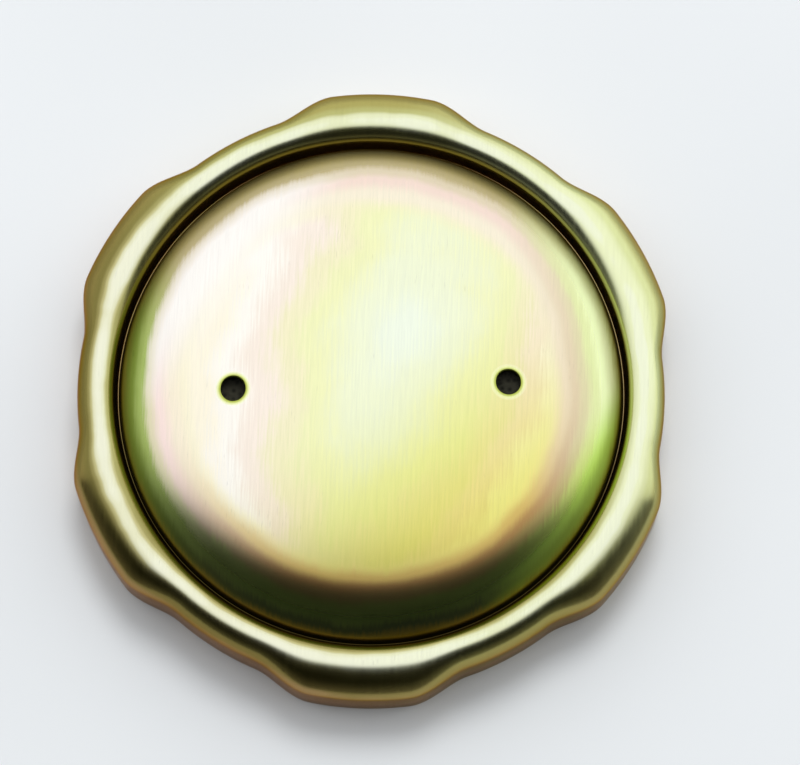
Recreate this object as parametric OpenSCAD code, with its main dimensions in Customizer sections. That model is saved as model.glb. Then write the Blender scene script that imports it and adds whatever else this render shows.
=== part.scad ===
// Vented bayonet fuel cap, pressed from sheet steel.
// Millimetres, +Z up, origin on the axis at the skirt's edge, valleys of the grip on the X axis.

/* [Rim] */
// Diameter over the grip lobes
cap_d = 64; // [60:1:70]
// Number of grip lobes
lobe_n = 6; // [5:1:8]
// How far the lobes stand out from the valleys
lobe_rise = 1.65; // [0.8:0.05:2.2]
// Flat top of a lobe, in degrees of turn
lobe_flat = 18.5; // [12:0.5:21]
// Flank of a lobe, in degrees of turn
lobe_flank = 12; // [6:1:12]
// Height of the rim's crest above the skirt's edge
rim_h = 8.6; // [8.6:0.2:12]
// Width of the crest's outer rounding, in a valley
crest_w = 2.3; // [2:0.05:2.8]
// Height of the crest's outer rounding
crest_h = 2.8; // [2:0.1:3.6]
// Part of the lobes' rise that reaches the crest line
crest_share = 0.25; // [0:0.05:0.5]

/* [Recess] */
// Depth of the recess under the crest
recess_depth = 3.2; // [2.8:0.1:3.5]
// Rounding of the lip into the recess
lip_r = 1.55; // [1.3:0.05:1.7]
// Slope of the recess wall, in degrees from upright
recess_draft = 10.5; // [4:0.5:14]

/* [Cover] */
// Height of the cover's upright edge above the recess floor
edge_h = 1; // [0.6:0.1:1.2]
// Lean of that edge, in degrees from upright
edge_lean = 12; // [8:1:16]
// Rounding of that edge into the dome
edge_r = 0.8; // [0.8:0.05:1.1]
// Slope of the dome where it meets that rounding, in degrees
dome_slope = 32; // [28:1:36]
// Radius of the dome's shoulder
shoulder_r = 16; // [13:1:19]
// Radius of the dome across its middle
crown_r = 110; // [100:5:160]
// Place of the vent holes, as a share of the cover's radius
vent_share = 0.54; // [0.45:0.01:0.62]
// Vent hole diameter
vent_d = 2.5; // [1.5:0.1:3.5]
// Turn of the vent holes from the line of two valleys, in degrees
vent_turn = 3.5; // [0:0.5:30]

/* [Seal] */
// Bore of the filler neck that the cap closes, as a share of the cap's diameter
neck_share = 0.594; // [0.54:0.002:0.62]
// Gasket thickness
gasket_t = 1.9; // [1.8:0.1:2.4]
// How far the seal plate's flange holds the gasket's inner edge
flange_lap = 1.3; // [1:0.1:2]

/* [Bayonet] */
// Depth of the neck's lip that the ears grip
grip_h = 2.1; // [1.8:0.1:2.6]
// How far each ear reaches past the neck's bore
ear_hold = 1.5; // [1:0.1:2]
// Width of an ear
ear_w = 11; // [8:0.5:13]
// Thickness of the leaf spring
spring_t = 0.6; // [0.5:0.05:0.8]
// Rivet shank diameter
rivet_d = 4; // [3:0.1:4.4]
// Breather hole through floor, plate and spring
breather_d = 1.6; // [1:0.1:2]

/* [Sheet and fits] */
// Thickness of the cap's and the seal plate's sheet
sheet = 0.7; // [0.6:0.05:0.9]
// Thickness of the cover's sheet
cover_sheet = 0.6; // [0.4:0.05:0.75]
// Play of a close fit, on the radius
fit = 0.05; // [0.02:0.01:0.1]
// Room round loosely held pieces
room = 0.3; // [0.2:0.05:0.5]

/* [Hidden] */
$fn = 96;

zinc = [0.80, 0.76, 0.52];
rubber = [0.10, 0.10, 0.11];
foam = [0.20, 0.20, 0.19];
spring_steel = [0.66, 0.64, 0.55];

// The pressed cap
stations = 120;
pitch = 360 / lobe_n;
valley_r = cap_d / 2 - lobe_rise;
crest_r = valley_r - crest_w;
floor_z = rim_h - recess_depth;
under_z = floor_z - sheet;
lip_z = rim_h - lip_r;
wall_slope = tan(recess_draft);

// The domed cover: an upright edge and three arcs that run tangent into each other
cover_r = recess_foot_r(0) - fit;
edge_pos = cover_r - edge_h * tan(edge_lean) - edge_r * cos(edge_lean);
edge_z = floor_z + edge_h - edge_r * sin(edge_lean);
shoulder_pos = edge_pos - (shoulder_r - edge_r) * sin(dome_slope);
shoulder_z = edge_z - (shoulder_r - edge_r) * cos(dome_slope);
crown_edge = asin(shoulder_pos / (crown_r - shoulder_r));
crown_z = shoulder_z - (crown_r - shoulder_r) * cos(crown_edge);
edge_steps = 5;
shoulder_steps = 8;
crown_steps = 8;

// The foam filter under it
vent_pos = vent_share * cover_r;
filter_lap = 2.5;
filter_r = vent_pos + vent_d / 2 + filter_lap;
filter_h = crown_z + sqrt(pow(crown_r - cover_sheet, 2) - pow(filter_r, 2)) - room - floor_z;

// The seal
bend_r = (gasket_t - sheet) / 2;
neck_room = 0.7;
neck_bore_d = neck_share * cap_d;
flange_r = neck_bore_d / 2 - neck_room;
plate_wall_r = flange_r - flange_lap - sheet / 2;
gasket_ir = plate_wall_r + bend_r + fit;
gasket_or = recess_foot_r(sheet) - sheet - room;
seal_z = under_z - gasket_t;

// The bayonet spring and its rivets
ear_r = neck_bore_d / 2 + ear_hold;
spring_z = under_z - sheet - spring_t / 2;
ear_z = seal_z - grip_h - spring_t / 2;
arm_room = 1.6;
hub_share = 0.6;
arm_end = plate_wall_r - arm_room;
hub_r = hub_share * arm_end;
spring_bend_r = 1.5;
rivet_pos = hub_r / 2;
head_r = 0.8 * rivet_d;
head_h = 0.28 * rivet_d;
head_steps = 5;

function flip(list) = [for (i = [len(list) - 1:-1:0]) list[i]];

function tail(list) = [for (i = [1:len(list) - 1]) list[i]];

// Smooth step from 0 to 1
function blend(t) = let (c = max(0, min(1, t))) c * c * (3 - 2 * c);

// 1 on a lobe, 0 in a valley, at angle a round the cap
function lobe(a) = 1 - blend((abs(a % pitch - pitch / 2) - lobe_flat / 2) / lobe_flank);

// Foot of the recess wall, on the face that lies t under the visible one
function recess_foot_r(t) =
    crest_r - (lip_r - t) / cos(recess_draft) - (lip_z - floor_z + t) * wall_slope;

// Sections of the pressing as [radius, height, share of the lobes' rise], t under the visible face
function lip_arc(t, n) = [
    for (i = [0:n])
        let (a = 180 - recess_draft - (90 - recess_draft) * i / n)
        [crest_r + (lip_r - t) * cos(a), lip_z + (lip_r - t) * sin(a), crest_share * (1 + cos(a))]
];

function crest_arc(t, n) = [
    for (i = [0:n])
        let (a = 90 - 90 * i / n)
        [
            crest_r + (crest_w - t) * cos(a),
            rim_h - crest_h + (crest_h - t) * sin(a),
            crest_share + (1 - crest_share) * pow(cos(a), 2)
        ]
];

function face(t, n_lip, n_crest) = concat(
    [[recess_foot_r(t), floor_z - t, 0]],
    lip_arc(t, n_lip),
    tail(crest_arc(t, n_crest)),
    [[valley_r - t, 0, 1]]
);

// A section point carried to angle a, moved out by its share of the lobe there
function carried(p, a) =
    let (r = p[0] + p[2] * lobe_rise * lobe(a))
    [r * cos(a), r * sin(a), p[1]];

// Middle line of a strip that steps down from z0 to z1 between x0 and x1: [x, z, slope] stations
function step_line(x0, x1, z0, z1, x_end, r, n) =
    let (turn = atan2(z0 - z1, x1 - x0), reach = r * tan(turn / 2))
    concat(
        [[0, z0, 0]],
        [
            for (i = [0:n])
                let (a = turn * i / n)
                [x0 - reach + r * sin(a), z0 - r * (1 - cos(a)), -a]
        ],
        [
            for (i = [n:-1:0])
                let (a = turn * i / n)
                [x1 + reach - r * sin(a), z1 + r * (1 - cos(a)), -a]
        ],
        [[x_end, z1, 0]]
    );

function offset_line(line, t) = [for (p = line) [p[0] - t * sin(p[2]), p[1] + t * cos(p[2])]];

// Outline of a bent strip of thickness t round its middle line
function strip(line, t) = concat(offset_line(line, t / 2), flip(offset_line(line, -t / 2)));

function mirrored(line) = concat([for (p = flip(tail(line))) [-p[0], p[1], -p[2]]], line);

// Arc of radius r about [x, z] over which a surface's slope goes from one angle to another
function slope_arc(x, z, r, from, to, n) = [
    for (i = [0:n])
        let (a = from + (to - from) * i / n)
        [x + r * sin(a), z + r * cos(a)]
];

// The dished cover's surface from its edge to its middle, t under the visible one
function dish(t) = concat(
    [[cover_r - t / cos(edge_lean), floor_z]],
    slope_arc(edge_pos, edge_z, edge_r - t, 90 - edge_lean, dome_slope, edge_steps),
    tail(slope_arc(shoulder_pos, shoulder_z, shoulder_r - t, dome_slope, crown_edge, shoulder_steps)),
    tail(slope_arc(0, crown_z, crown_r - t, crown_edge, 0, crown_steps))
);

// Half section of a rivet's button head
function head_arc() = [
    for (i = [0:head_steps])
        let (a = 90 * i / head_steps)
        [head_r * cos(a), head_h * sin(a)]
];

module at_rivets() {
    for (side = [-1, 1])
        translate([side * rivet_pos, 0, 0])
            children();
}

// Holes through everything that the rivets hold
module stack_holes() {
    at_rivets() cylinder(d = rivet_d + 2 * fit, h = rim_h);
    cylinder(d = breather_d, h = rim_h);
}

// Closed skin of the pressed cap: both faces of the sheet swept round, with the lobes
module pressed_shell() {
    section = concat(face(0, 4, 8), flip(face(sheet, 2, 6)));
    last = len(section) - 1;
    wide = last + 1;
    polyhedron(
        points = [
            for (i = [0:stations - 1])
                for (p = section)
                    carried(p, 360 * i / stations)
        ],
        faces = concat(
            [
                for (i = [0:stations - 1])
                    for (j = [0:last - 1])
                        for (half = [0, 1])
                            let (a = i * wide + j, b = (i + 1) % stations * wide + j)
                            half == 0 ? [a, b, b + 1] : [a, b + 1, a + 1]
            ],
            [[for (i = [stations - 1:-1:0]) i * wide]],
            [[for (i = [0:stations - 1]) i * wide + last]]
        ),
        convexity = 6
    );
}

module outer_cap() {
    color(zinc)
        difference() {
            pressed_shell();
            stack_holes();
        }
}

module vent_cover() {
    color(zinc)
        difference() {
            rotate_extrude() polygon(concat(dish(0), flip(dish(cover_sheet))));
            for (side = [0, 180])
                rotate(vent_turn + side)
                    translate([vent_pos, 0, floor_z])
                        cylinder(d = vent_d, h = 2 * rim_h);
        }
}

module vent_filter() {
    color(foam)
        translate([0, 0, floor_z])
            difference() {
                cylinder(r = filter_r, h = filter_h);
                at_rivets()
                    translate([0, 0, -room])
                        cylinder(r = head_r + room, h = head_h + 2 * room);
            }
}

// Flat ring with a rebate for the seal plate's flange, so that the flange lies flush with its face
module gasket() {
    color(rubber)
        translate([0, 0, seal_z])
            difference() {
                cylinder(r = gasket_or, h = gasket_t);
                translate([0, 0, -room]) cylinder(r = gasket_ir, h = gasket_t + 2 * room);
                translate([0, 0, -room]) cylinder(r = flange_r + room, h = sheet + room);
            }
}

module seal_plate() {
    line = step_line(
        plate_wall_r, plate_wall_r, under_z - sheet / 2, seal_z + sheet / 2, flange_r, bend_r, 4
    );
    color(zinc)
        difference() {
            rotate_extrude() polygon(strip(line, sheet));
            stack_holes();
        }
}

module bayonet_spring() {
    line = step_line(hub_r, arm_end, spring_z, ear_z, ear_r + room, spring_bend_r, 5);
    color(spring_steel)
        difference() {
            intersection() {
                rotate([90, 0, 0])
                    linear_extrude(2 * hub_r + 1, center = true)
                        polygon(strip(mirrored(line), spring_t));
                linear_extrude(rim_h) {
                    circle(r = hub_r);
                    intersection() {
                        circle(r = ear_r);
                        square([3 * ear_r, ear_w], center = true);
                    }
                }
            }
            stack_holes();
        }
}

module rivet() {
    grip_z = spring_z - spring_t / 2;
    rotate_extrude()
        polygon(concat(
            [for (p = flip(head_arc())) [p[0], grip_z - p[1]]],
            [[rivet_d / 2, grip_z], [rivet_d / 2, floor_z]],
            [for (p = head_arc()) [p[0], floor_z + p[1]]]
        ));
}

module rivets() {
    color(zinc)
        at_rivets() rivet();
}

outer_cap();
vent_cover();
vent_filter();
gasket();
seal_plate();
bayonet_spring();
rivets();
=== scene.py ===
"""Dresses the vented bayonet fuel cap: pressed zinc-plated steel on a pale table."""

import logging
import math
from collections.abc import Iterable, Mapping, Sequence
from dataclasses import dataclass, field
from enum import Enum
from typing import ClassVar

import bmesh
import bpy
from mathutils import Matrix, Vector

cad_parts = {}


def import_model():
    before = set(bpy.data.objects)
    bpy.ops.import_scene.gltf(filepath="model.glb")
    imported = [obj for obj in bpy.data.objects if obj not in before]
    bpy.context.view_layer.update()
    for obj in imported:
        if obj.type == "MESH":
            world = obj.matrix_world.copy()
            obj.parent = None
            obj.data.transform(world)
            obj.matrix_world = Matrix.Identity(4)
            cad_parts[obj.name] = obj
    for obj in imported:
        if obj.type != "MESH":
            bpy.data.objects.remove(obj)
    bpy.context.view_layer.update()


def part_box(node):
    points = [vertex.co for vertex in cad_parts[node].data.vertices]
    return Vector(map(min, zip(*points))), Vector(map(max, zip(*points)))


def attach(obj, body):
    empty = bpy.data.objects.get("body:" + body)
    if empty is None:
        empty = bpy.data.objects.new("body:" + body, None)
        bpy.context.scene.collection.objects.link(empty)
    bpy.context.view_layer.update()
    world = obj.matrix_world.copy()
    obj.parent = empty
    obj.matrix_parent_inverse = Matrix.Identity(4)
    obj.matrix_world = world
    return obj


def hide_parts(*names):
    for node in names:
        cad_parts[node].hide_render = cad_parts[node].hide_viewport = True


LOG = logging.getLogger("fuel_cap")
MM = 0.001
ROOT = "root"
MERGE_DISTANCE = 1e-7
ON_AXIS = 1e-6
SECTORS = 6
SHARE = "share"
SHARP_ANGLE = math.radians(38)
# The range that most of a noise lies in, and its middle.
NOISE_RANGE = (0.3, 0.7)
NOISE_MIDDLE = 0.5
# Half height of an oval in which height doesn't count.
NO_HEIGHT = 1e6

Point = tuple[float, float]
Corner = tuple[float, float, float]
Colour = tuple[float, float, float, float]
Bands = tuple[tuple[float, str], ...]
Tree = bpy.types.NodeTree
Socket = bpy.types.NodeSocket
Material = bpy.types.Material
BMesh = bmesh.types.BMesh


class Node(Enum):
    """The CAD nodes of the cap."""

    OUTER_CAP = "outer_cap"
    VENT_COVER = "vent_cover"
    VENT_FILTER = "vent_filter"
    GASKET = "gasket"
    SEAL_PLATE = "seal_plate"
    BAYONET_SPRING = "bayonet_spring"
    RIVETS = "rivets"


class Slot(Enum):
    """The record's material slots."""

    ZINC = "zinc"
    SPRING_STEEL = "spring_steel"
    RUBBER = "rubber"
    FOAM = "foam"


# Film on the dome, from the middle of its thin spot outwards.
DOME_BANDS: Bands = (
    (0.0, "#dfe7d6"), (0.2, "#dfe5c8"), (0.42, "#e0e3b2"), (0.56, "#e2deba"),
    (0.7, "#e7dcd0"), (0.86, "#ebe8e0"), (1.0, "#eae4d0"),
)
# Film on the dome's shoulder where it is thin, from the crown to the slit.
THIN_SHOULDER: Bands = (
    (0.0, "#e4e0bc"), (0.26, "#e5ddc8"), (0.46, "#e2cec2"), (0.59, "#d0c4aa"),
    (0.72, "#b0a47a"), (0.855, "#aca06c"), (1.0, "#a8985e"),
)
# The same on the side where the ring ends in grass green.
GRASS_SHOULDER: Bands = (
    (0.0, "#e6e2c4"), (0.26, "#e7ddc8"), (0.46, "#ead6d0"), (0.59, "#d6d0b0"),
    (0.7, "#9fb264"), (0.855, "#788a3a"), (1.0, "#8c8440"),
)
# The same on the right, which runs into green without a brown ring; its pale band near the slit is
# a painted reflection.
GREEN_LIT_SHOULDER: Bands = (
    (0.0, "#e0d4b5"), (0.2, "#dcceb3"), (0.33, "#d1c2a2"), (0.46, "#cfcba0"),
    (0.59, "#d3dda2"), (0.72, "#dde9b2"), (0.855, "#c8ce9c"), (1.0, "#8a7e3a"),
)
# The same where it is thick, on the viewer's side: its film colours, darkened there as painted
# shade.
THICK_SHADED_SHOULDER: Bands = (
    (0.0, "#e0d47e"), (0.2, "#c9ae65"), (0.33, "#b08c58"), (0.46, "#aa985f"), (0.59, "#a6bc62"),
    (0.72, "#869c50"), (0.855, "#5f6a42"), (0.95, "#887e40"), (1.0, "#80742f"),
)
# The same at the end of the thick part, which turns leaf green.
LEAF_SHOULDER: Bands = (
    (0.0, "#e0d482"), (0.2, "#ceb470"), (0.33, "#b99662"), (0.46, "#b8a868"),
    (0.59, "#c2d070"), (0.72, "#bde064"), (0.855, "#a2be52"), (1.0, "#8a843a"),
)
# Film at a vent, from its wall outwards.
VENT_BANDS: Bands = ((0.0, "#6a6e2c"), (0.25, "#aeb858"), (0.6, "#dde4a4"), (1.0, "#f2f4e0"))
# Film on the rim, from the skirt's edge up to the crest.
RIM_BANDS: Bands = (
    (0.0, "#b9a86c"), (0.18, "#ab9456"), (0.36, "#bc9f78"), (0.52, "#a6a05c"), (0.68, "#b09664"),
    (0.84, "#a09458"), (0.93, "#a09a5a"), (0.97, "#aeae70"), (0.99, "#d6dab4"), (1.0, "#dde1c6"),
)
# The same where the film is thicker and browner, and darker as painted shade: inside the lip on the
# viewer's side and outside on the skirt's left.
BROWN_SHADED_RIM_BANDS: Bands = (
    (0.0, "#c6a688"), (0.2, "#ba9874"), (0.4, "#c8a48c"), (0.64, "#be9a7c"), (0.76, "#a08458"),
    (0.86, "#847642"), (0.945, "#7a723e"), (0.965, "#948c56"), (0.98, "#b8b27e"),
    (0.99, "#d6d6b6"), (1.0, "#dedfc8"),
)
# The same on the right, where the rim's slope is painted paler: a painted reflection of the room's
# bright side.
PALE_LIT_RIM_BANDS: Bands = (
    (0.0, "#c2ae7c"), (0.18, "#b89c68"), (0.36, "#c6a888"), (0.52, "#b2a86e"), (0.68, "#b8a274"),
    (0.8, "#a89c60"), (0.87, "#aeb074"), (0.93, "#c9d096"), (0.99, "#dce2b8"), (1.0, "#dfe4c8"),
)
# Film on the sides that the tank sees, from thin to thick.
EVEN_BANDS: Bands = ((0.25, "#b9b276"), (0.45, "#d6d09a"), (0.6, "#d9c7a2"), (0.75, "#c9cf9c"))
# The same, so thin that the zinc shows.
ZINC_BANDS: Bands = ((0.25, "#b4b09a"), (0.5, "#cbc8b4"), (0.75, "#bfbda6"))


def linear(code: str) -> Colour:
    """Turn an sRGB hex colour into linear RGBA.

    Args:
        code: The colour as "#rrggbb".

    Returns:
        Red, green, blue and an alpha of 1, linear.
    """
    parts = [int(code[i : i + 2], 16) / 255 for i in (1, 3, 5)]
    red, green, blue = (
        c / 12.92 if c <= 0.04045 else ((c + 0.055) / 1.055) ** 2.4 for c in parts
    )
    return red, green, blue, 1.0


def add_node(
    tree: Tree, kind: str, inputs: Mapping[str | int, object] | None = None, **settings: object
) -> Socket:
    """Add a shader node with its settings, values and links.

    Args:
        tree: The node tree that takes the node.
        kind: The node's type, such as "Math".
        inputs: Input names or numbers, each with a value or with the output that feeds it.
        **settings: Properties of the node itself.

    Returns:
        The first output that the node has with these settings.
    """
    made = tree.nodes.new("ShaderNode" + kind)
    for key, value in settings.items():
        setattr(made, key, value)
    for key, value in (inputs or {}).items():
        if isinstance(value, Socket):
            tree.links.new(value, made.inputs[key])
        else:
            made.inputs[key].default_value = value
    return next(out for out in made.outputs if out.enabled)


def span(start: Point, end: Point = (0.0, 1.0)) -> dict[str, float]:
    """Name the two ends of a range, and what they become, for a node that maps a range."""
    return dict(zip(("From Min", "From Max", "To Min", "To Max"), (*start, *end)))


def ramp(tree: Tree, measure: Socket, bands: Bands) -> Socket:
    """Lay colours along a measure.

    Args:
        tree: The node tree.
        measure: The value that runs along the ramp, 0 to 1.
        bands: Places from 0 to 1, each with its sRGB hex colour.

    Returns:
        The colour output.
    """
    made = add_node(tree, "ValToRGB", {"Fac": measure})
    stops = made.node.color_ramp.elements
    made.node.color_ramp.interpolation = "EASE"
    while len(stops) < len(bands):
        stops.new(1.0)
    for stop, (place, code) in zip(stops, bands):
        stop.position = place
        stop.color = linear(code)
    return made


def layered(
    tree: Tree, ground: Socket, layers: Iterable[tuple[Socket, Socket | Colour]]
) -> Socket:
    """Lay colours over one another.

    Args:
        tree: The node tree.
        ground: The lowest colour.
        layers: How much each further colour covers, and the colour, from the lowest up.

    Returns:
        The colour that they make.
    """
    for share, colour in layers:
        inputs = {"Factor": share, "A": ground, "B": colour}
        ground = add_node(tree, "Mix", inputs, data_type="RGBA")
    return ground


def arc(centre: Point, radii: Point, start: float, end: float, steps: int) -> list[Point]:
    """Points along an elliptical arc.

    Args:
        centre: Middle of the ellipse.
        radii: Its two half axes.
        start: First angle, in degrees.
        end: Last angle, in degrees.
        steps: Number of steps between them.

    Returns:
        The points, both ends included.
    """
    turns = [math.radians(start + (end - start) * i / steps) for i in range(steps + 1)]
    return [
        (centre[0] + radii[0] * math.cos(a), centre[1] + radii[1] * math.sin(a)) for a in turns
    ]


def eased(a: Point, corner: Point, b: Point, steps: int = 4) -> list[Point]:
    """Round a corner with a parabola.

    Args:
        a: Where the rounding starts.
        corner: The sharp corner.
        b: Where the rounding ends.
        steps: Number of steps between them.

    Returns:
        The points from a to b.
    """
    made = []
    for i in range(steps + 1):
        t = i / steps
        weights = ((1 - t) ** 2, 2 * t * (1 - t), t**2)
        made.append(tuple(sum(w * p[k] for w, p in zip(weights, (a, corner, b))) for k in (0, 1)))
    return made


def rounded(corners: Sequence[Point], ease: float) -> list[Point]:
    """Ease every corner of a closed section.

    Args:
        corners: The sharp corners, in order.
        ease: How far from each corner its rounding starts.

    Returns:
        The section's points.
    """
    made = []
    for i, corner in enumerate(corners):
        ends = []
        for other in (corners[i - 1], corners[(i + 1) % len(corners)]):
            part = ease / math.dist(corner, other)
            ends.append(tuple(c + (o - c) * part for c, o in zip(corner, other)))
        made += eased(ends[0], corner, ends[1])
    return made


def spin_section(
    bm: BMesh,
    section: Sequence[Point],
    steps: int,
    middle: Point = (0.0, 0.0),
    shares: Sequence[float] | None = None,
) -> None:
    """Turn a section about an upright axis, one sector after the other.

    Args:
        bm: The mesh that takes the solid.
        section: Distance from the axis and height of each point, in millimetres. A section that
            starts and ends on the axis is left open there.
        steps: Number of steps round the turn, a multiple of the sectors.
        middle: Where the axis stands, in millimetres.
        shares: A value for each point, which its copies keep in the layer SHARE.
    """
    layer = bm.verts.layers.float.new(SHARE)
    verts = [bm.verts.new(((middle[0] + r) * MM, middle[1] * MM, z * MM)) for r, z in section]
    for vert, share in zip(verts, shares or [0.0] * len(verts)):
        vert[layer] = share
    pairs = list(zip(verts, verts[1:]))
    if section[0][0] > ON_AXIS:
        pairs.append((verts[-1], verts[0]))
    edges = [bm.edges.new(pair) for pair in pairs]
    pivot = Vector((middle[0] * MM, middle[1] * MM, 0.0))
    bmesh.ops.spin(
        bm,
        geom=verts + edges,
        cent=pivot,
        axis=(0.0, 0.0, 1.0),
        angle=math.tau / SECTORS,
        steps=steps // SECTORS,
    )
    sector = bm.verts[:] + bm.edges[:] + bm.faces[:]
    for i in range(1, SECTORS):
        copied = bmesh.ops.duplicate(bm, geom=sector)["geom"]
        bmesh.ops.rotate(
            bm,
            cent=pivot,
            matrix=Matrix.Rotation(math.tau * i / SECTORS, 3, "Z"),
            verts=[e for e in copied if isinstance(e, bmesh.types.BMVert)],
        )
    bmesh.ops.remove_doubles(bm, verts=bm.verts, dist=MERGE_DISTANCE)


def add_object(name: str, data: bpy.types.ID) -> bpy.types.Object:
    """Put a mesh, lamp or camera into the scene.

    Args:
        name: The object's name.
        data: What it holds.

    Returns:
        The object.
    """
    made = bpy.data.objects.new(name, data)
    bpy.context.scene.collection.objects.link(made)
    return made


def start_material(name: str) -> tuple[Material, Tree, bpy.types.Node, Socket]:
    """Start a material that is laid out in millimetres on the piece.

    Args:
        name: What the real material is.

    Returns:
        The material, its tree, its shader and the place on the piece in millimetres.
    """
    material = bpy.data.materials.new(name)
    material.use_nodes = True
    tree = material.node_tree
    where = add_node(tree, "TexCoord").node.outputs["Object"]
    spot = add_node(tree, "VectorMath", {0: where, "Scale": 1 / MM}, operation="SCALE")
    return material, tree, tree.nodes["Principled BSDF"], spot


@dataclass(frozen=True)
class Side:
    """A side of the cap, and the distances from the axis where it starts and is full, in mm."""

    azimuth_deg: float
    start: float
    end: float


@dataclass(frozen=True)
class Skin:
    """The face under a film: the place on it, in millimetres, soft clouds and the sheet's lines."""

    tree: Tree
    spot: Socket
    cloud: Socket
    lines: Socket

    def plan(self) -> Socket:
        """Give the place as seen from above, in millimetres."""
        flat = {0: self.spot, 1: (1.0, 1.0, 0.0)}
        return add_node(self.tree, "VectorMath", flat, operation="MULTIPLY")

    def away(self) -> Socket:
        """Give the distance from the cap's axis, in millimetres."""
        return add_node(self.tree, "VectorMath", {0: self.plan()}, operation="LENGTH")

    def towards(self, side: Side) -> Socket:
        """Measure how far a place lies to one side of the piece.

        Args:
            side: The side.

        Returns:
            The measure, smooth from 0 to 1.
        """
        turn = math.radians(side.azimuth_deg)
        way = (math.cos(turn), math.sin(turn), 0.0)
        along = add_node(self.tree, "VectorMath", {0: self.spot, 1: way}, operation="DOT_PRODUCT")
        ends = span((side.start, side.end))
        return add_node(
            self.tree, "MapRange", {"Value": along, **ends}, interpolation_type="SMOOTHSTEP"
        )

    def drift(self, measure: Socket, amounts: Sequence[float | Socket]) -> Socket:
        """Let a measure drift with the clouds and the sheet's lines.

        Args:
            measure: The measure.
            amounts: How far the clouds, and then the lines, move it.

        Returns:
            The measure, moved to and fro.
        """
        moved = measure
        for noise, amount in zip((self.cloud, self.lines), amounts):
            level = add_node(self.tree, "Math", {0: noise, 1: NOISE_MIDDLE}, operation="SUBTRACT")
            moved = add_node(
                self.tree, "Math", {0: level, 1: amount, 2: moved}, operation="MULTIPLY_ADD"
            )
        return moved


@dataclass(frozen=True)
class CloudFilm:
    """Chromate film in soft clouds, as on the sides that the tank sees."""

    bands: Bands

    def paint(self, skin: Skin) -> Socket:
        """Colour the film by the clouds of the face under it."""
        return ramp(skin.tree, skin.cloud, self.bands)


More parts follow.
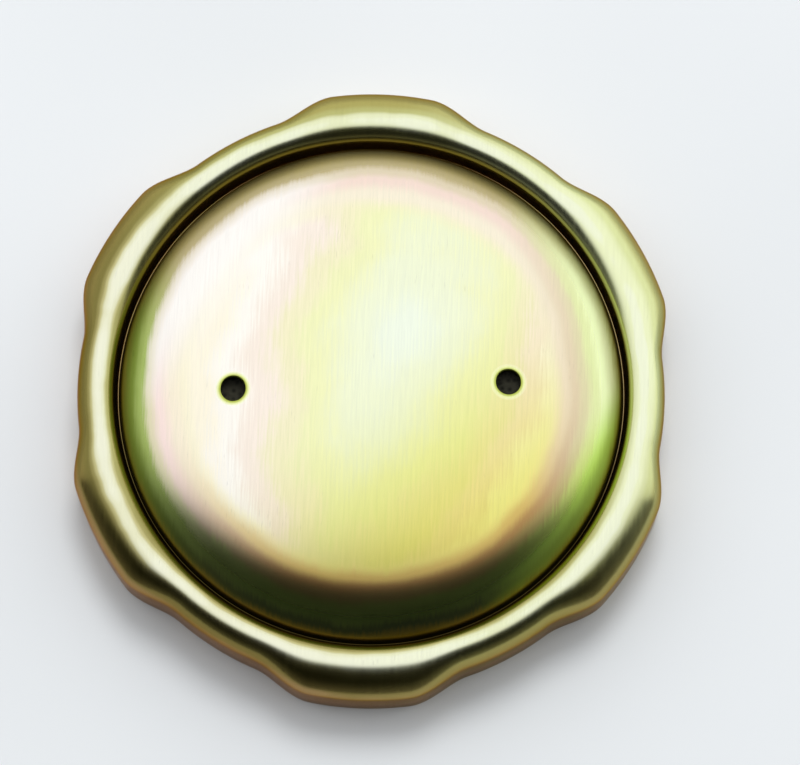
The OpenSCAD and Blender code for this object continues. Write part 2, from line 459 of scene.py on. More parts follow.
@dataclass(frozen=True)
class DomeFilm:
    """Chromate film on the domed cover, from its middle to the shoulder and round each vent.

    It is thinnest in an oval spot, and the bands on the shoulder change from side to side. Sizes
    in millimetres. A drift says how far the clouds and the sheet's lines move the bands.
    """

    vents: tuple[Point, ...]
    oval_middle: Point = (3.5, 6.0)
    oval_turn_deg: float = -14.0
    oval_reach: Point = (19.5, 44.0)
    oval_drift: Point = (0.4, 0.16)
    deep_side: Side = Side(308.0, -2.0, 20.0)
    deep_tint: str = "#eeec8a"
    shoulder: Point = (18.5, 26.1)
    shoulder_start: Point = (18.0, 20.2)
    shoulder_drift: Point = (1.6, 0.8)
    shoulder_sides: tuple[tuple[Bands, Side], ...] = (
        (GRASS_SHOULDER, Side(195.0, 15.0, 23.0)),
        # Painted shade: the shoulder on the viewer's side is darkened.
        (THICK_SHADED_SHOULDER, Side(290.0, -2.0, 18.0)),
        # Painted reflection: a pale band near the slit on the right shoulder, within its green
        # film.
        (GREEN_LIT_SHOULDER, Side(7.0, 14.0, 24.0)),
        (LEAF_SHOULDER, Side(331.0, 20.5, 24.0)),
    )
    # Painted highlight: the shoulder is whitened towards the back left, inside these radii.
    highlight_side: Side = Side(143.0, 15.0, 21.0)
    highlight_fade: Point = (23.8, 22.2)
    highlight_tint: str = "#ece9e4"
    vent_fade: Point = (1.95, 1.5)
    vent_reach: Point = (1.2, 1.9)

    def paint(self, skin: Skin) -> Socket:
        """Colour the film.

        Args:
            skin: The dome's face.

        Returns:
            The film's colour.
        """
        tree, middle = skin.tree, self.paint_middle(skin)
        wavy = skin.drift(skin.away(), self.shoulder_drift)
        share = add_node(
            tree,
            "MapRange",
            {"Value": wavy, **span(self.shoulder_start)},
            interpolation_type="SMOOTHSTEP",
        )
        # Painted highlight: a near-white patch on the shoulder towards the back left.
        fade = add_node(tree, "MapRange", {"Value": wavy, **span(self.highlight_fade)})
        near = skin.towards(self.highlight_side)
        painted_highlight = add_node(tree, "Math", {0: near, 1: fade}, operation="MULTIPLY")
        layers = [(share, self.paint_shoulder(skin, wavy)), (painted_highlight, linear(self.highlight_tint))]
        layers += [self.ring_vent(skin, vent) for vent in self.vents]
        return layered(tree, middle, layers)

    def paint_middle(self, skin: Skin) -> Socket:
        """Colour the film round its thin spot.

        Args:
            skin: The dome's face.

        Returns:
            The colour, deeper on one side.
        """
        oval = add_node(
            skin.tree,
            "Mapping",
            {
                "Vector": skin.spot,
                "Location": (*self.oval_middle, 0.0),
                "Rotation": (0.0, 0.0, math.radians(self.oval_turn_deg)),
                "Scale": (*self.oval_reach, NO_HEIGHT),
            },
            vector_type="TEXTURE",
        )
        reach = add_node(skin.tree, "VectorMath", {0: oval}, operation="LENGTH")
        middle = ramp(skin.tree, skin.drift(reach, self.oval_drift), DOME_BANDS)
        return add_node(
            skin.tree,
            "Mix",
            {"Factor": skin.towards(self.deep_side), "A": middle, "B": linear(self.deep_tint)},
            data_type="RGBA",
            blend_type="MULTIPLY",
        )

    def paint_shoulder(self, skin: Skin, wavy: Socket) -> Socket:
        """Colour the film on the shoulder.

        Args:
            skin: The dome's face.
            wavy: Distance from the axis, moved to and fro by the drift.

        Returns:
            The colour, with each side's own bands.
        """
        bend = add_node(skin.tree, "MapRange", {"Value": wavy, **span(self.shoulder)})
        sides = [
            (skin.towards(side), ramp(skin.tree, bend, bands))
            for bands, side in self.shoulder_sides
        ]
        return layered(skin.tree, ramp(skin.tree, bend, THIN_SHOULDER), sides)

    def ring_vent(self, skin: Skin, vent: Point) -> tuple[Socket, Socket]:
        """Tint the punched edge of a vent, where the film has run thick.

        Args:
            skin: The dome's face.
            vent: The vent's place.

        Returns:
            How much the ring covers, and its colour.
        """
        tree = skin.tree
        away = add_node(
            tree, "VectorMath", {0: skin.plan(), 1: (*vent, 0.0)}, operation="DISTANCE"
        )
        near = add_node(
            tree,
            "MapRange",
            {"Value": away, **span(self.vent_fade)},
            interpolation_type="SMOOTHSTEP",
        )
        along = add_node(tree, "MapRange", {"Value": away, **span(self.vent_reach)})
        return near, ramp(tree, along, VENT_BANDS)


@dataclass(frozen=True)
class RimFilm:
    """Chromate film on the rolled rim: pale on the crest, olive, then tan to the skirt's edge.

    The clouds move its bands more on the skirt than on the crest. Sizes in millimetres.
    """

    crest: float = 8.6
    wave_heights: Point = (7.5, 5.0)
    waves: Point = (0.5, 5.0)
    outside: Point = (26.8, 27.8)
    # Painted reflection: the rim's slope is paler towards this side.
    pale_lit_side: Side = Side(22.0, 12.0, 28.0)
    # The film is browner on these two sides and darkened there as painted shade.
    brown_shaded_recess: Side = Side(270.0, 8.0, 25.0)
    brown_shaded_skirt: Side = Side(205.0, -2.0, 22.0)
    # Painted shade: the foot of the recess wall on the viewer's side, below these heights, is
    # darkened to this tint.
    foot_shade_heights: Point = (6.6, 6.0)
    foot_shade_side: Side = Side(270.0, -5.0, 15.0)
    foot_shade_tint: str = "#463c1c"

    def paint(self, skin: Skin) -> Socket:
        """Colour the film.

        Args:
            skin: The rim's face.

        Returns:
            The film's colour, with painted shade at the foot of the recess wall on the viewer's
            side.
        """
        tree = skin.tree
        height = add_node(tree, "SeparateXYZ", {0: skin.spot}).node.outputs["Z"]
        ends = span(self.wave_heights, self.waves)
        wavy = skin.drift(height, (add_node(tree, "MapRange", {"Value": height, **ends}),))
        rise = add_node(tree, "MapRange", {"Value": wavy, **span((0.0, self.crest))})
        outside = add_node(tree, "MapRange", {"Value": skin.away(), **span(self.outside)})
        # Browner film, darkened as painted shade, inside the lip on the viewer's side and on the
        # skirt's left.
        recess, skirt = (skin.towards(side) for side in (self.brown_shaded_recess, self.brown_shaded_skirt))
        brown = add_node(tree, "Mix", {"Factor": outside, "A": recess, "B": skirt})
        inside = add_node(tree, "Math", {0: 1.0, 1: outside}, operation="SUBTRACT")
        # Painted shade at the foot of the recess wall, inside the lip, on the viewer's side.
        low = add_node(tree, "MapRange", {"Value": height, **span(self.foot_shade_heights)})
        foot = skin.towards(self.foot_shade_side)
        for factor in (inside, low):
            foot = add_node(tree, "Math", {0: foot, 1: factor}, operation="MULTIPLY")
        layers = (
            # Painted reflection: paler bands on the right side of the rim.
            (skin.towards(self.pale_lit_side), ramp(tree, rise, PALE_LIT_RIM_BANDS)),
            (brown, ramp(tree, rise, BROWN_SHADED_RIM_BANDS)),
            (foot, linear(self.foot_shade_tint)),
        )
        return layered(tree, ramp(tree, rise, RIM_BANDS), layers)


@dataclass(frozen=True)
class YellowChromatedZinc:
    """Zinc plate with a yellow chromate film, on pressed steel.

    The film is thin enough to show interference: pale green and yellow where it is thin, pink and
    then green and olive where the pressing left it thicker. The rolled sheet's grain shows
    through it. Sizes in millimetres.
    """

    name: str
    film: CloudFilm | DomeFilm | RimFilm
    roughness: float
    uneven: Point = (-0.02, 0.03)
    tint: Point = (0.96, 1.02)
    grain: Point = (0.2, 4.5)
    grain_turn_deg: float = 3.0
    grain_depth: float = 0.0009
    grain_strength: float = 0.75
    line_detail: float = 2.0
    line_breaks: float = 0.6
    cloud: float = 9.0
    cloud_detail: float = 3.0
    scratch: Point = (0.16, 1.3)
    scratch_turn_deg: float = -38.0
    scratch_gather: float = 0.35
    scratch_limits: Point = (0.885, 0.93)
    scratch_shade: float = 0.88
    edge_tint: str = "#ccb298"
    drawn: Point = (22.6, 25.6)
    drawn_rough: float = 0.0

    def build(self) -> Material:
        """Make the material.

        Returns:
            The material, with its film colours, grain and gloss.
        """
        material, tree, shader, spot = start_material(self.name)
        shader.inputs["Metallic"].default_value = 1.0
        shader.inputs["Specular Tint"].default_value = linear(self.edge_tint)
        size = {"Scale": 1 / self.cloud, "Detail": self.cloud_detail}
        cloud = add_node(tree, "TexNoise", {"Vector": spot, **size})
        lines = self.lay_lines(tree, spot, self.grain, self.grain_turn_deg)
        skin = Skin(tree, spot, cloud, lines)
        film, worn = self.film.paint(skin), self.lay_scratches(skin)
        tint = add_node(tree, "MapRange", {"Value": lines, **span(NOISE_RANGE, self.tint)})
        shade = add_node(tree, "Math", {0: tint, 1: worn}, operation="MULTIPLY")
        lined = add_node(tree, "VectorMath", {0: film, "Scale": shade}, operation="SCALE")
        tree.links.new(lined, shader.inputs["Base Color"])
        tree.links.new(self.lay_gloss(skin), shader.inputs["Roughness"])
        depth = {"Strength": self.grain_strength, "Distance": self.grain_depth * MM}
        bump = add_node(tree, "Bump", {**depth, "Height": lines})
        tree.links.new(bump, shader.inputs["Normal"])
        return material

    def lay_gloss(self, skin: Skin) -> Socket:
        """Roughen the face along its lines, or towards an edge that the pressing has drawn.

        Args:
            skin: The face.

        Returns:
            The roughness.
        """
        if self.drawn_rough:
            ends = span(self.drawn, (self.roughness, self.roughness + self.drawn_rough))
            return add_node(
                skin.tree,
                "MapRange",
                {"Value": skin.away(), **ends},
                interpolation_type="SMOOTHSTEP",
            )
        ends = span(NOISE_RANGE, tuple(self.roughness + change for change in self.uneven))
        return add_node(skin.tree, "MapRange", {"Value": skin.lines, **ends})

    def lay_lines(self, tree: Tree, spot: Socket, size: Point, turn_deg: float) -> Socket:
        """Draw parallel lines.

        Args:
            tree: The node tree.
            spot: Place on the piece.
            size: Width and length of a line.
            turn_deg: Their turn from the Y axis.

        Returns:
            A value that changes from line to line, about 0.5.
        """
        stretched = add_node(
            tree,
            "Mapping",
            {
                "Vector": spot,
                "Rotation": (0.0, 0.0, math.radians(turn_deg)),
                "Scale": (1 / size[0], 1 / size[1], 1 / size[1]),
            },
        )
        kind = {"Scale": 1.0, "Detail": self.line_detail, "Roughness": self.line_breaks}
        return add_node(tree, "TexNoise", {"Vector": stretched, **kind})

    def lay_scratches(self, skin: Skin) -> Socket:
        """Darken a few short scratches, which gather in the clouds.

        Args:
            skin: The face.

        Returns:
            The shade that they leave: 1 beside them.
        """
        strokes = self.lay_lines(skin.tree, skin.spot, self.scratch, self.scratch_turn_deg)
        parts = {0: skin.cloud, 1: self.scratch_gather, 2: strokes}
        gathered = add_node(skin.tree, "Math", parts, operation="MULTIPLY_ADD")
        ends = span(self.scratch_limits, (1.0, self.scratch_shade))
        return add_node(skin.tree, "MapRange", {"Value": gathered, **ends})


class Pattern(Enum):
    """The patterns of matt finishes."""

    CLOUDS = "TexNoise"
    CELLS = "TexVoronoi"


@dataclass(frozen=True)
class MattFinish:
    """A matt finish, shaded in a pattern. With a relief, its skin is pitted. Sizes in mm."""

    name: str
    bands: Bands
    size: float
    detail: float
    roughness: float
    pattern: Pattern = Pattern.CLOUDS
    specular: float = 0.5
    relief: float = 0.0
    relief_depth: float = 0.0
    relief_strength: float = 1.0

    def build(self) -> Material:
        """Make the material.

        Returns:
            The material, with its shades and its skin.
        """
        material, tree, shader, spot = start_material(self.name)
        shades, *pits = (
            add_node(
                tree,
                self.pattern.value,
                {"Vector": spot, "Scale": 1 / size, "Detail": self.detail},
            )
            for size in (self.size, self.relief)
            if size
        )
        tree.links.new(ramp(tree, shades, self.bands), shader.inputs["Base Color"])
        shader.inputs["Roughness"].default_value = self.roughness
        shader.inputs["Specular IOR Level"].default_value = self.specular
        depth = {"Strength": self.relief_strength, "Distance": self.relief_depth * MM}
        for height in pits:
            bump = add_node(tree, "Bump", {**depth, "Height": height})
            tree.links.new(bump, shader.inputs["Normal"])
        return material


# Matt black, with a faint bloom that greys it in patches.
NITRILE_RUBBER = MattFinish(
    "moulded NBR rubber",
    ((0.3, "#1c1c1d"), (0.7, "#2b2b2c")),
    size=2.5,
    detail=3.0,
    roughness=0.62,
    relief=0.25,
    relief_depth=0.02,
    relief_strength=0.4,
)
# Dark olive grey, all pores.
OPEN_CELL_FOAM = MattFinish(
    "open-cell filter foam",
    ((0.1, "#14140c"), (0.6, "#35342a")),
    size=0.6,
    detail=0.0,
    roughness=0.95,
    pattern=Pattern.CELLS,
    relief=0.6,
    relief_depth=0.2,
    relief_strength=0.8,
)
# Pale and even, so that only the cap's soft shadow marks it.
WHITE_LAMINATE = MattFinish(
    "matt white laminate",
    ((0.3, "#e4e8eb"), (0.7, "#e8ecef")),
    size=60.0,
    detail=1.0,
    roughness=0.8,
    specular=0.2,
)


@dataclass
class CapPiece:
    """A piece of the cap that stands for its CAD node. Sizes in millimetres."""

    node: ClassVar[Node]
    slot: ClassVar[Slot] = Slot.ZINC
    low: Corner = field(init=False)
    high: Corner = field(init=False)

    def __post_init__(self) -> None:
        """Take the overall sizes from the frame."""
        self.low, self.high = (tuple(c / MM for c in end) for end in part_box(self.node.value))

    @property
    def radius(self) -> float:
        """How far the piece reaches along X."""
        return self.high[0]

    @property
    def base(self) -> float:
        """Height of its lowest place."""
        return self.low[2]

    @property
    def top(self) -> float:
        """Height of its highest place."""
        return self.high[2]

    def shape(self, bm: BMesh) -> None:
        """Fill an empty mesh with the piece's faces."""
        raise NotImplementedError

    def build(self, material: Material) -> bpy.types.Object:
        """Build the piece in its CAD node's place.

        Args:
            material: Its finish.

        Returns:
            The piece.
        """
        bm = bmesh.new()
        self.shape(bm)
        bmesh.ops.recalc_face_normals(bm, faces=bm.faces)
        mesh = bpy.data.meshes.new(self.node.value + "_dressed")
        bm.to_mesh(mesh)
        bm.free()
        mesh.shade_smooth()
        mesh.set_sharp_from_angle(angle=SHARP_ANGLE)
        mesh.materials.append(material)
        piece = add_object(self.node.value + "_dressed", mesh)
        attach(piece, ROOT)
        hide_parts(self.node.value)
        LOG.info("%s: %d faces", piece.name, len(mesh.polygons))
        return piece


@dataclass
class PressedCap(CapPiece):
    """The lobed pressing: skirt, rolled rim and recess. Its radius is that of a valley."""

    node: ClassVar[Node] = Node.OUTER_CAP
    lobes: int = 6
    lobe_flat_deg: float = 18.5
    lobe_flank_deg: float = 12.0
    crest_width: float = 2.3
    crest_height: float = 2.8
    crest_share: float = 0.25
    recess_depth: float = 3.2
    lip_radius: float = 1.55
    draft_deg: float = 10.5
    sheet: float = 0.7
    breather: float = 0.8
    edge: float = 0.2
    bend: float = 0.9
    lip_steps: int = 12
    crest_steps: int = 24
    steps: int = 720

    @property
    def rise(self) -> float:
        """How far a lobe stands out of a valley."""
        return self.high[1] - self.radius

    @property
    def crest(self) -> float:
        """Radius of the crest line in a valley."""
        return self.radius - self.crest_width

    @property
    def floor(self) -> float:
        """Height of the recess floor."""
        return self.top - self.recess_depth

    def foot(self, depth: float) -> float:
        """Foot radius of the recess wall.

        Args:
            depth: How far under the visible face.

        Returns:
            The radius where the wall meets the floor's face at that depth.
        """
        slope = math.radians(self.draft_deg)
        fall = self.recess_depth - self.lip_radius + depth
        return self.crest - (self.lip_radius - depth) / math.cos(slope) - fall * math.tan(slope)

    def over(self, depth: float) -> tuple[list[Point], list[float]]:
        """Section of the rim from the recess wall over the crest to the skirt.

        Args:
            depth: How far under the visible face.

        Returns:
            The points, from the wall's top outwards, and the part of the lobes' rise that each
            of them takes.
        """
        lip = self.lip_radius - depth
        centre = (self.crest, self.top - self.lip_radius)
        inner = arc(centre, (lip, lip), 180 - self.draft_deg, 90, self.lip_steps)
        centre = (self.crest, self.top - self.crest_height)
        radii = (self.crest_width - depth, self.crest_height - depth)
        outer = arc(centre, radii, 90, 0, self.crest_steps)[1:]
        shares = [self.crest_share * (1 + (r - self.crest) / lip) for r, _ in inner]
        for r, _ in outer:
            out = ((r - self.crest) / radii[0]) ** 2
            shares.append(self.crest_share + (1 - self.crest_share) * out)
        return inner + outer, shares

    def section(self) -> tuple[list[Point], list[float]]:
        """Closed section of the pressing.

        Returns:
            The points, from the breather hole over the rim and back under it, and the part of
            the lobes' rise that each of them takes.
        """
        inside = self.radius - self.sheet
        under = self.floor - self.sheet
        low = self.foot(self.sheet)
        slope = math.radians(self.draft_deg)
        wall = (low + self.bend * math.sin(slope), under + self.bend * math.cos(slope))
        (upper, upper_shares), (lower, lower_shares) = self.over(0.0), self.over(self.sheet)
        start = [(self.breather, self.floor), (self.foot(0), self.floor)]
        skirt_edge = [
            *eased((self.radius, self.edge), (self.radius, 0), (self.radius - self.edge, 0)),
            *eased((inside + self.edge, 0), (inside, 0), (inside, self.edge)),
        ]
        end = [*eased(wall, (low, under), (low - self.bend, under)), (self.breather, under)]
        points = [*start, *upper, *skirt_edge, *reversed(lower), *end]
        shares = [0.0] * len(start) + upper_shares + [1.0] * len(skirt_edge)
        return points, [*shares, *reversed(lower_shares), *([0.0] * len(end))]

    def lobe(self, angle: float) -> float:
        """Height of the lobes' wave.

        Args:
            angle: Angle round the cap, in radians.

        Returns:
            1 on a lobe, 0 in a valley.
        """
        pitch = 360 / self.lobes
        off = abs(math.degrees(angle) % pitch - pitch / 2)
        t = min(1.0, max(0.0, (off - self.lobe_flat_deg / 2) / self.lobe_flank_deg))
        return 1 - t * t * (3 - 2 * t)

    def shape(self, bm: BMesh) -> None:
        """Spin the section and press the lobes out of it.

        Args:
            bm: The empty mesh.
        """
        points, shares = self.section()
        spin_section(bm, points, self.steps, shares=shares)
        layer = bm.verts.layers.float[SHARE]
        for vert in bm.verts:
            push = vert[layer] * self.rise * self.lobe(math.atan2(vert.co.y, vert.co.x)) * MM
            vert.co.xy *= 1 + push / vert.co.xy.length


@dataclass
class VentCover(CapPiece):
    """The dished cover with its two punched vents.

    A vent's edge is rolled in. The collar round it is flat, and measured in rolls.
    """

    node: ClassVar[Node] = Node.VENT_COVER
    edge_height: float = 1.0
    edge_lean_deg: float = 12.0
    edge: float = 0.8
    dome_slope_deg: float = 32.0
    shoulder: float = 16.0
    crown: float = 110.0
    sheet: float = 0.6
    vent: float = 1.25
    vent_share: float = 0.54
    vent_turn_deg: float = 3.5
    roll: float = 0.18
    roll_turns: tuple[float, ...] = (0.0, 0.4, 0.8, 1.2, math.pi / 2)
    roll_flat: float = 1.2
    roll_share: float = 0.45
    collar: Point = (2.4, 1.6)
    patch: float = 2.6
    patch_search: float = 1.5
    arc_steps: tuple[int, int, int] = (44, 24, 12)
    steps: int = 288

    @property
    def edge_centre(self) -> Point:
        """Centre of the rounding between the upright edge and the shoulder."""
        lean = math.radians(self.edge_lean_deg)
        across = self.edge_height * math.tan(lean) + self.edge * math.cos(lean)
        return self.radius - across, self.base + self.edge_height - self.edge * math.sin(lean)

    @property
    def shoulder_centre(self) -> Point:
        """Centre of the shoulder's arc."""
        slope, more = math.radians(self.dome_slope_deg), self.shoulder - self.edge
        r, z = self.edge_centre
        return r - more * math.sin(slope), z - more * math.cos(slope)

    @property
    def crown_edge_deg(self) -> float:
        """Slope at which the crown runs into the shoulder."""
        return math.degrees(math.asin(self.shoulder_centre[0] / (self.crown - self.shoulder)))

    @property
    def crown_centre(self) -> float:
        """Height of the crown's centre, far under the cap."""
        fall = (self.crown - self.shoulder) * math.cos(math.radians(self.crown_edge_deg))
        return self.shoulder_centre[1] - fall

    @property
    def vents(self) -> tuple[Point, ...]:
        """Places of the two vents."""
        turn, reach = math.radians(self.vent_turn_deg), self.vent_share * self.radius
        return tuple((s * reach * math.cos(turn), s * reach * math.sin(turn)) for s in (1, -1))

    def dish(self, depth: float) -> list[Point]:
        """Section of one face from the axis to the edge.

        Args:
            depth: How far under the visible face.

        Returns:
            The points.
        """
        high, low = 90 - self.crown_edge_deg, 90 - self.dome_slope_deg
        big, mid, small = (r - depth for r in (self.crown, self.shoulder, self.edge))
        many, some, few = self.arc_steps
        crown = arc((0.0, self.crown_centre), (big, big), 90, high, many)
        shoulder = arc(self.shoulder_centre, (mid, mid), high, low, some)
        edge = arc(self.edge_centre, (small, small), low, self.edge_lean_deg, few)
        foot = (self.radius - depth / math.cos(math.radians(self.edge_lean_deg)), self.base)
        return [(0.0, crown[0][1]), *crown[1:], *shoulder[1:], *edge[1:], foot]

    def height(self, r: float, depth: float) -> float:
        """Give the crown's height at a distance from the axis and a depth under its face."""
        return self.crown_centre + math.sqrt((self.crown - depth) ** 2 - r**2)

    def punch(self, bm: BMesh, centre: Vector) -> None:
        """Punch a vent, with the rolled-in edge that the punch leaves.

        Args:
            bm: The cover's mesh.
            centre: The vent's place, in millimetres.
        """

        def away(place: Vector) -> float:
            """Distance from the vent's axis, in millimetres."""
            return (place.xy / MM - centre).length

        near = [f for f in bm.faces if away(f.calc_center_median()) < self.patch]
        bmesh.ops.delete(bm, geom=near, context="FACES")
        rings = [(self.vent + rolls * self.roll, 0.0) for rolls in self.collar]
        for turn in self.roll_turns:
            wide = self.roll * (1 - math.sin(turn))
            rings.append((self.vent + wide, self.roll * (1 - math.cos(turn)) / self.roll_flat))
        ends = []
        for depth, way in ((0.0, -1.0), (self.sheet, 1.0)):
            rim = []
            for edge in bm.edges:
                mid = (edge.verts[0].co + edge.verts[1].co) / 2
                halfway = self.height(mid.xy.length / MM, self.sheet / 2)
                on_face = (mid.z / MM > halfway) == (way < 0)
                if edge.is_boundary and on_face and away(mid) < self.patch_search * self.patch:
                    rim.append(edge)
            for radius, sink in rings:
                grown = bmesh.ops.extrude_edge_only(bm, edges=rim)["geom"]
                rim = [e for e in grown if isinstance(e, bmesh.types.BMEdge) and e.is_boundary]
                drop = way * min(sink, self.roll_share * self.sheet)
                for vert in {v for e in rim for v in e.verts}:
                    spot = centre + (vert.co.xy / MM - centre).normalized() * radius
                    vert.co = Vector((*spot, self.height(spot.length, depth) + drop)) * MM
            ends += rim
        bmesh.ops.bridge_loops(bm, edges=ends)

    def shape(self, bm: BMesh) -> None:
        """Spin the dish and punch its vents.

        Args:
            bm: The empty mesh.
        """
        spin_section(bm, self.dish(0.0) + self.dish(self.sheet)[::-1], self.steps)
        for vent in self.vents:
            self.punch(bm, Vector(vent))


@dataclass(frozen=True)
class SteppedStrip:
    """Section of a sheet that steps down from one level to another. Sizes in millimetres."""

    start: float
    upper: Point
    lower: Point
    end: float
    bend: float
    steps: int = 8

    @property
    def turn_deg(self) -> float:
        """How steep the step is."""
        fall = self.upper[1] - self.lower[1]
        return math.degrees(math.atan2(fall, self.lower[0] - self.upper[0]))

    def face(self, off: float) -> list[Point]:
        """One face of the sheet.

        Args:
            off: How far above the sheet's middle line it lies.

        Returns:
            The points, from the start to the end.
        """
        reach, turn = self.bend * math.tan(math.radians(self.turn_deg) / 2), self.turn_deg
        (x0, z0), (x1, z1) = self.upper, self.lower
        first, second = self.bend + off, self.bend - off
        down = arc((x0 - reach, z0 - self.bend), (first, first), 90, 90 - turn, self.steps)
        flat = arc((x1 + reach, z1 + self.bend), (second, second), 270 - turn, 270, self.steps)
        return [(self.start, z0 + off), *down, *flat, (self.end, z1 + off)]

    def level(self, x: float, off: float) -> float:
        """Height of one face.

        Args:
            x: Place along the sheet.
            off: How far above the sheet's middle line the face lies.

        Returns:
            The height there.
        """
        points = self.face(off)
        for (xa, za), (xb, zb) in zip(points, points[1:]):
            if xb > xa and x <= xb:
                return za + (zb - za) * max(0.0, x - xa) / (xb - xa)
        return points[-1][1]


@dataclass
class SealPlate(CapPiece):
    """The dished plate that holds the gasket. Its radius is that of the flange."""

    node: ClassVar[Node] = Node.SEAL_PLATE
    sheet: float = 0.7
    lap: float = 1.3
    breather: float = 0.8
    steps: int = 192

    @property
    def wall(self) -> float:
        """Radius of the middle of the cup's wall."""
        return self.radius - self.lap - self.sheet / 2

    def shape(self, bm: BMesh) -> None:
        """Spin the stepped sheet.

        Args:
            bm: The empty mesh.
        """
        upper, lower = self.top - self.sheet / 2, self.base + self.sheet / 2
        strip = SteppedStrip(
            self.breather, (self.wall, upper), (self.wall, lower), self.radius, (upper - lower) / 2
        )
        faces = strip.face(self.sheet / 2), strip.face(-self.sheet / 2)
        spin_section(bm, faces[0] + faces[1][::-1], self.steps)


@dataclass
class Gasket(CapPiece):
    """The flat gasket, with the rebate that takes the plate's flange."""

    node: ClassVar[Node] = Node.GASKET
    slot: ClassVar[Slot] = Slot.RUBBER
    plate: SealPlate
    play: float = 0.05
    room: float = 0.3
    ease: float = 0.25
    steps: int = 192

    def shape(self, bm: BMesh) -> None:
        """Spin the rounded ring.

        Args:
            bm: The empty mesh.
        """
        rebate, step = self.plate.radius + self.room, self.base + self.plate.sheet
        bore = self.plate.wall + (self.top - self.base - self.plate.sheet) / 2 + self.play
        corners = (
            (bore, self.top),
            (self.radius, self.top),
            (self.radius, self.base),
            (rebate, self.base),
            (rebate, step),
            (bore, step),
        )
        spin_section(bm, rounded(corners, self.ease), self.steps)


@dataclass
class RivetPair(CapPiece):
    """The two rivets through floor, plate and spring."""

    node: ClassVar[Node] = Node.RIVETS
    shank: float = 2.0
    head: float = 3.2
    head_height: float = 1.12
    head_steps: int = 10
    steps: int = 48

    @property
    def place(self) -> float:
        """Distance of a rivet from the cap's axis."""
        return self.radius - self.head

    def shape(self, bm: BMesh) -> None:
        """Spin both rivets.

        Args:
            bm: The empty mesh.
        """
        radii = (self.head, self.head_height)
        closed, made = self.base + self.head_height, self.top - self.head_height
        section = [
            *arc((0.0, closed), radii, -90, 0, self.head_steps),
            (self.shank, closed),
            (self.shank, made),
            *arc((0.0, made), radii, 0, 90, self.head_steps),
        ]
        for side in (1, -1):
            one = bmesh.new()
            spin_section(one, section, self.steps, middle=(side * self.place, 0.0))
            mesh = bpy.data.meshes.new("rivet")
            one.to_mesh(mesh)
            one.free()
            bm.from_mesh(mesh)
            bpy.data.meshes.remove(mesh)


@dataclass
class BayonetSpring(CapPiece):
    """The bent leaf spring with its two ears."""

    node: ClassVar[Node] = Node.BAYONET_SPRING
    slot: ClassVar[Slot] = Slot.SPRING_STEEL
    rivets: RivetPair
    thickness: float = 0.6
    width: float = 11.0
    step: float = 5.45
    bend: float = 1.5
    play: float = 0.05
    breather: float = 0.8
    edge: float = 0.08
    edge_angle_deg: float = 60.0
    edge_segments: int = 2
    cut_digits: int = 4
    tip_steps: int = 12
    hub_steps: int = 32
    hole_steps: int = 36

    @property
    def hub(self) -> float:
        """Radius of the round middle."""
        return self.high[1]

    def outline(self) -> list[list[Point]]:
        """Plan of the flat blank.

        Returns:
            Its outer line and the lines of its three holes.
        """
        tip, shoulder = (
            math.degrees(math.asin(self.width / 2 / r)) for r in (self.radius, self.hub)
        )
        outer = []
        for half in (0, 180):
            for r, start, end, steps in (
                (self.radius, -tip, tip, self.tip_steps),
                (self.hub, shoulder, 180 - shoulder, self.hub_steps),
            ):
                outer += arc((0.0, 0.0), (r, r), half + start, half + end, steps)
        holes = [((0.0, 0.0), self.breather)]
        holes += [((s * self.rivets.place, 0.0), self.rivets.shank + self.play) for s in (1, -1)]
        return [outer, *(arc(middle, (r, r), 0, 360, self.hole_steps)[:-1] for middle, r in holes)]

    def shape(self, bm: BMesh) -> None:
        """Blank the sheet, bend its arms down and ease its edges.

        Args:
            bm: The empty mesh.
        """
        half = self.thickness / 2
        upper, lower = self.top - half, self.base + half
        strip = SteppedStrip(
            0.0, (self.hub, upper), (self.radius - self.step, lower), self.radius, self.bend
        )
        for line in self.outline():
            verts = [bm.verts.new((x * MM, y * MM, 0.0)) for x, y in line]
            for pair in zip(verts, verts[1:] + verts[:1]):
                bm.edges.new(pair)
        bmesh.ops.triangle_fill(bm, edges=bm.edges[:], use_beauty=True, normal=(0.0, 0.0, 1.0))
        bends = [x for off in (half, -half) for x, _ in strip.face(off)[1:-1]]
        cuts = sorted({round(x, self.cut_digits) for x in bends})
        for place in [*cuts, *(-x for x in cuts)]:
            bmesh.ops.bisect_plane(
                bm,
                geom=bm.verts[:] + bm.edges[:] + bm.faces[:],
                plane_co=(place * MM, 0.0, 0.0),
                plane_no=(1.0, 0.0, 0.0),
            )
        bmesh.ops.solidify(bm, geom=bm.faces[:], thickness=self.thickness * MM)
        heights = [v.co.z for v in bm.verts]
        middle = (min(heights) + max(heights)) / 2
        for vert in bm.verts:
            off = half if vert.co.z > middle else -half
            vert.co.z = strip.level(abs(vert.co.x) / MM, off) * MM
        bmesh.ops.recalc_face_normals(bm, faces=bm.faces)
        sharp = math.radians(self.edge_angle_deg)
        bmesh.ops.bevel(
            bm,
            geom=[e for e in bm.edges if e.calc_face_angle(0.0) > sharp],
            offset=self.edge * MM,
            segments=self.edge_segments,
            profile=0.5,
            affect="EDGES",
            material=-1,
        )


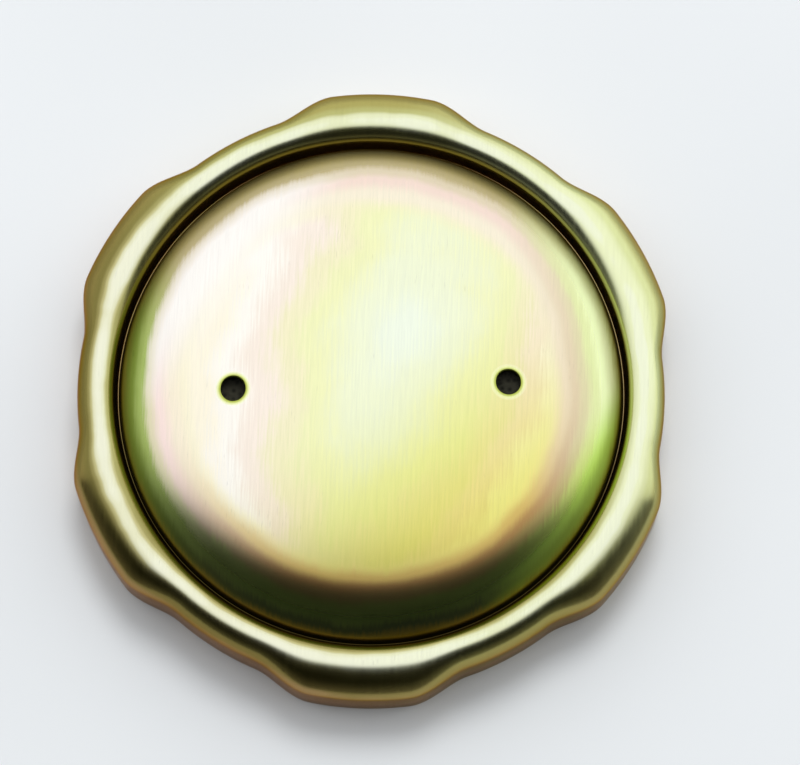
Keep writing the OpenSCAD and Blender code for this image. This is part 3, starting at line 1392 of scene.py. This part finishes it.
@dataclass
class FoamFilter(CapPiece):
    """The foam disc under the cover, hollow over the rivet heads."""

    node: ClassVar[Node] = Node.VENT_FILTER
    slot: ClassVar[Slot] = Slot.FOAM
    rivets: RivetPair
    room: float = 0.4
    ease: float = 0.5
    steps: int = 144

    def shape(self, bm: BMesh) -> None:
        """Spin the rounded disc.

        Args:
            bm: The empty mesh.
        """
        hollow = self.rivets.place + self.rivets.head + self.room
        roof = self.base + self.rivets.head_height + self.room
        section = [
            (0.0, roof),
            *eased((hollow - self.ease, roof), (hollow, roof), (hollow, roof - self.ease)),
            (hollow, self.base),
            (self.radius, self.base),
            *eased(
                (self.radius, self.top - self.ease),
                (self.radius, self.top),
                (self.radius - self.ease, self.top),
            ),
            (0.0, self.top),
        ]
        spin_section(bm, section, self.steps)


@dataclass
class Studio:
    """Table, light and camera. Distances in millimetres where no unit is named.

    The bright ceiling fades away from its middle, and ends at an edge towards the viewer: there
    a direction's reach forwards, in parts of its height, runs through edge_reach.
    """

    scale_px_per_mm: float = 9.555
    distance: float = 450.0
    elevation_deg: float = 78.1
    azimuth_deg: float = 272.1
    origin_px: Point = (371.4, 404.9)
    image_px: Point = (800.0, 765.0)
    sensor_mm: float = 36.0
    table_m: float = 2.0
    sky_azimuth_deg: float = 55.0
    sky_zenith_deg: float = 25.0
    sky_fade_deg: Point = (30.0, 110.0)
    sky_dim: float = 0.75
    edge_azimuth_deg: float = 271.0
    edge_reach: Point = (0.09, 0.36)
    edge_dim: float = 0.02
    least_height: float = 0.02
    level: float = 1.24
    glow: float = 0.18
    glow_heights: Point = (0.6, 0.1)
    seen_level: float = 0.9
    lamp_azimuth_deg: float = 84.0
    lamp_zenith_deg: float = 31.0
    lamp_distance: float = 1200.0
    lamp_size: float = 500.0
    lamp_power: float = 5.0

    def lay_table(self, material: Material) -> bpy.types.Object:
        """Lay the table top under the cap.

        Args:
            material: Its laminate.

        Returns:
            The table top.
        """
        bm = bmesh.new()
        bmesh.ops.create_grid(bm, x_segments=2, y_segments=2, size=self.table_m)
        mesh = bpy.data.meshes.new("table")
        bm.to_mesh(mesh)
        bm.free()
        mesh.materials.append(material)
        table = add_object("table", mesh)
        return table

    def set_camera(self) -> bpy.types.Object:
        """Look down on the cap as the photograph does.

        Returns:
            The camera.
        """
        back = self.way(self.azimuth_deg, 90 - self.elevation_deg)
        data = bpy.data.cameras.new("camera")
        data.sensor_width = self.sensor_mm
        data.lens = self.scale_px_per_mm * self.distance / self.image_px[0] * self.sensor_mm
        camera = add_object("camera", data)
        camera.rotation_mode = "QUATERNION"
        camera.rotation_quaternion = (-back).to_track_quat("-Z", "Y")
        right = camera.rotation_quaternion @ Vector((1, 0, 0))
        up = camera.rotation_quaternion @ Vector((0, 1, 0))
        off_x = (self.image_px[0] / 2 - self.origin_px[0]) / self.scale_px_per_mm
        off_y = (self.origin_px[1] - self.image_px[1] / 2) / self.scale_px_per_mm
        camera.location = (back * self.distance + right * off_x + up * off_y) * MM
        bpy.context.scene.camera = camera
        return camera

    def hang_lamp(self) -> bpy.types.Object:
        """Hang a soft lamp behind the cap, which shades the near side of the table.

        Returns:
            The lamp, which the plated metal doesn't mirror.
        """
        data = bpy.data.lights.new("soft lamp", "AREA")
        data.shape = "DISK"
        data.size = self.lamp_size * MM
        data.energy = self.lamp_power
        lamp = add_object("soft lamp", data)
        towards = self.way(self.lamp_azimuth_deg, self.lamp_zenith_deg)
        lamp.location = towards * self.lamp_distance * MM
        lamp.rotation_mode = "QUATERNION"
        lamp.rotation_quaternion = (-towards).to_track_quat("-Z", "Y")
        lamp.visible_glossy = False
        return lamp

    @staticmethod
    def way(azimuth_deg: float, zenith_deg: float) -> Vector:
        """A direction from the cap.

        Args:
            azimuth_deg: Its angle round the cap, from +X.
            zenith_deg: Its angle from straight up.

        Returns:
            The unit vector.
        """
        turn, lean = math.radians(azimuth_deg), math.radians(zenith_deg)
        return Vector(
            (math.cos(turn) * math.sin(lean), math.sin(turn) * math.sin(lean), math.cos(lean))
        )

    def light_room(self) -> None:
        """Fill the room with soft daylight from above and behind, with the viewer's side dark."""
        world = bpy.data.worlds.new("soft daylight")
        world.use_nodes = True
        bpy.context.scene.world = world
        tree = world.node_tree
        way = add_node(tree, "TexCoord").node.outputs["Generated"]
        towards, ahead = (
            add_node(tree, "VectorMath", {0: way, 1: axis}, operation="DOT_PRODUCT")
            for axis in (
                self.way(self.sky_azimuth_deg, self.sky_zenith_deg),
                self.way(self.edge_azimuth_deg, 90.0),
            )
        )
        off = add_node(tree, "Math", {0: towards}, operation="ARCCOSINE")
        height = add_node(tree, "SeparateXYZ", {0: way}).node.outputs["Z"]
        above = add_node(tree, "Math", {0: height, 1: self.least_height}, operation="MAXIMUM")
        past = add_node(tree, "Math", {0: ahead, 1: above}, operation="DIVIDE")
        fade = tuple(math.radians(turn) for turn in self.sky_fade_deg)
        sky, front, low = (
            add_node(tree, "MapRange", {"Value": value, **ends}, interpolation_type="SMOOTHSTEP")
            for value, ends in (
                (off, span(fade, (1.0, self.sky_dim))),
                (past, span(self.edge_reach, (1.0, self.edge_dim))),
                (height, span(self.glow_heights, (0.0, self.glow))),
            )
        )
        lit = add_node(tree, "Math", {0: sky, 1: front}, operation="MULTIPLY")
        level = add_node(tree, "Math", {0: lit, 1: self.level, 2: low}, operation="MULTIPLY_ADD")
        seen = add_node(tree, "LightPath").node.outputs["Is Camera Ray"]
        strength = add_node(tree, "Mix", {"Factor": seen, "A": level, "B": self.seen_level})
        background = tree.nodes["Background"]
        background.inputs["Color"].default_value = (1.0, 1.0, 1.0, 1.0)
        tree.links.new(strength, background.inputs["Strength"])


def main() -> None:
    """Build the dressed cap and its studio, and log how many faces each piece has."""
    logging.basicConfig(level=logging.INFO, format="%(name)s: %(message)s")
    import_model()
    bpy.context.scene.view_settings.view_transform = "Standard"

    studio = Studio()
    studio.set_camera()
    studio.lay_table(WHITE_LAMINATE.build())
    studio.light_room()
    studio.hang_lamp()

    cover, plate, rivets = VentCover(), SealPlate(), RivetPair()
    hidden = YellowChromatedZinc(
        "yellow-chromated zinc, hidden side", CloudFilm(EVEN_BANDS), roughness=0.3
    ).build()
    rim = YellowChromatedZinc("yellow-chromated zinc, rolled rim", RimFilm(), roughness=0.23)
    dome = YellowChromatedZinc(
        "yellow-chromated zinc, domed cover",
        DomeFilm(cover.vents),
        roughness=0.21,
        edge_tint="#b8b070",
        drawn_rough=0.2,
        grain_depth=0.002,
    )
    spring = YellowChromatedZinc(
        "zinc-plated spring steel", CloudFilm(ZINC_BANDS), roughness=0.32
    )
    pieces = [
        PressedCap().build(rim.build()),
        cover.build(dome.build()),
        FoamFilter(rivets).build(OPEN_CELL_FOAM.build()),
        Gasket(plate).build(NITRILE_RUBBER.build()),
        plate.build(hidden),
        BayonetSpring(rivets).build(spring.build()),
        rivets.build(hidden),
    ]
    LOG.info("%d pieces dressed", len(pieces))


if __name__ == "__main__":
    main()
